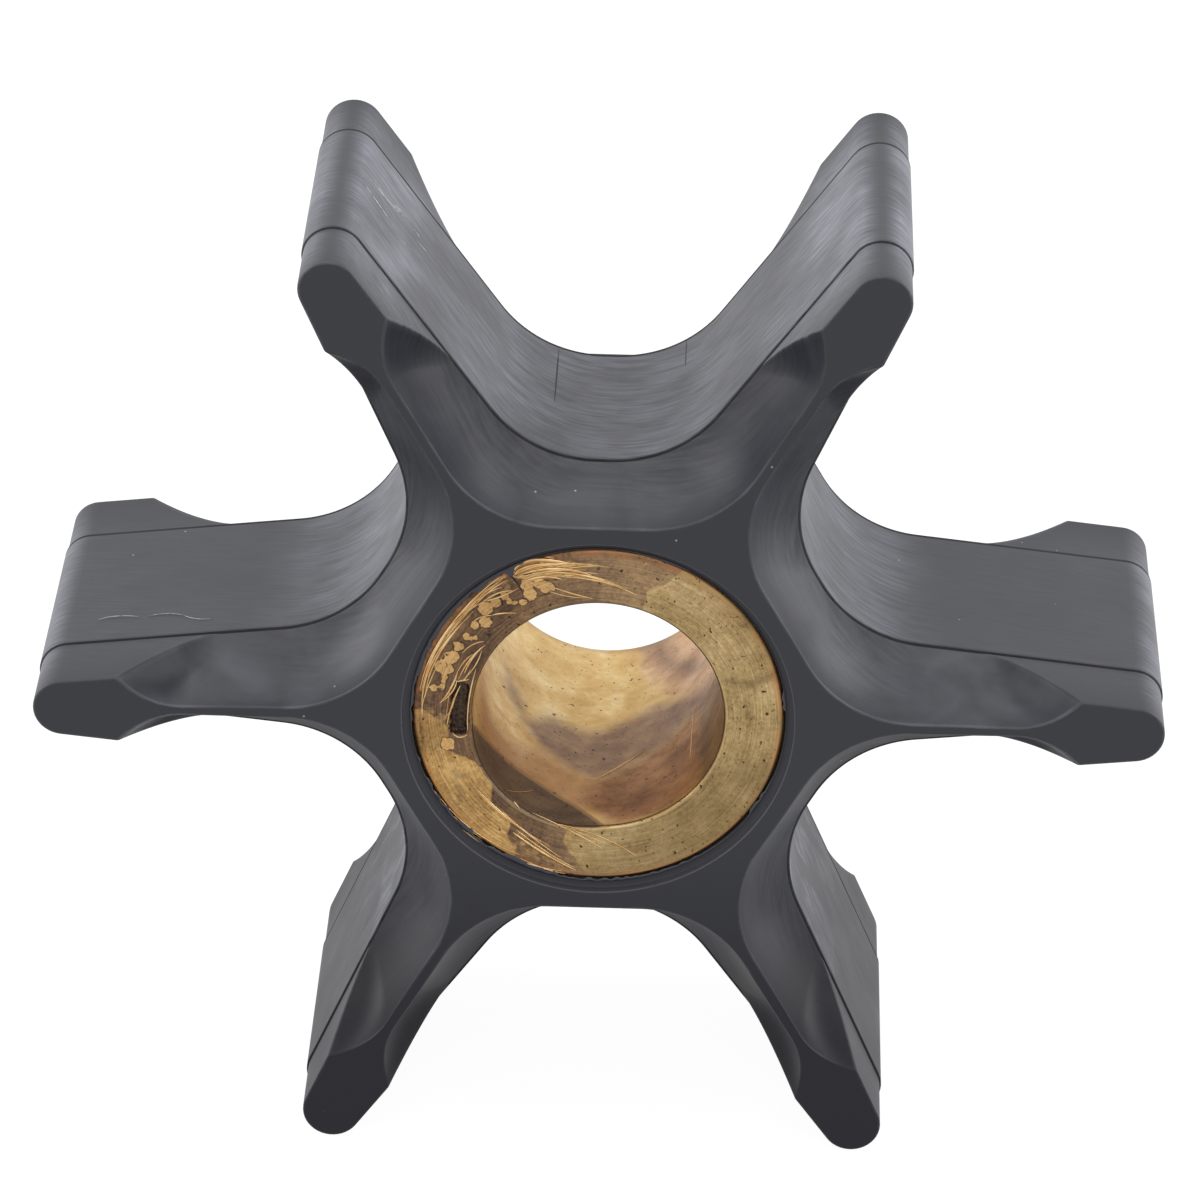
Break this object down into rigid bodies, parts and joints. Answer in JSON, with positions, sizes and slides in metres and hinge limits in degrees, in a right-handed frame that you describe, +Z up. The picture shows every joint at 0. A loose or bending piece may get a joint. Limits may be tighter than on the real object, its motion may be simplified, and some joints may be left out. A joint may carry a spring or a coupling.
{
  "type": "rubber pump impeller",
  "caption": "Flexible rubber pump impeller: a star of scooped vanes moulded round a worn brass bush with a plain shaft bore.",
  "frame": {"origin": "on the bore axis, half way through the width", "axes": "+Y along the bore from the front face to the back face, +Z up, +X to the right along one vane; the part stands on the tips of its two lower vanes"},
  "size_m": [0.066, 0.0238, 0.0576],
  "materials": {
    "rubber": "matt moulded black rubber, rubbed grey in places",
    "brass": "tarnished and scratched"
  },
  "bodies": {
    "root": {"impeller_rubber": "rubber", "hub_bush": "brass"}
  },
  "joints": []
}
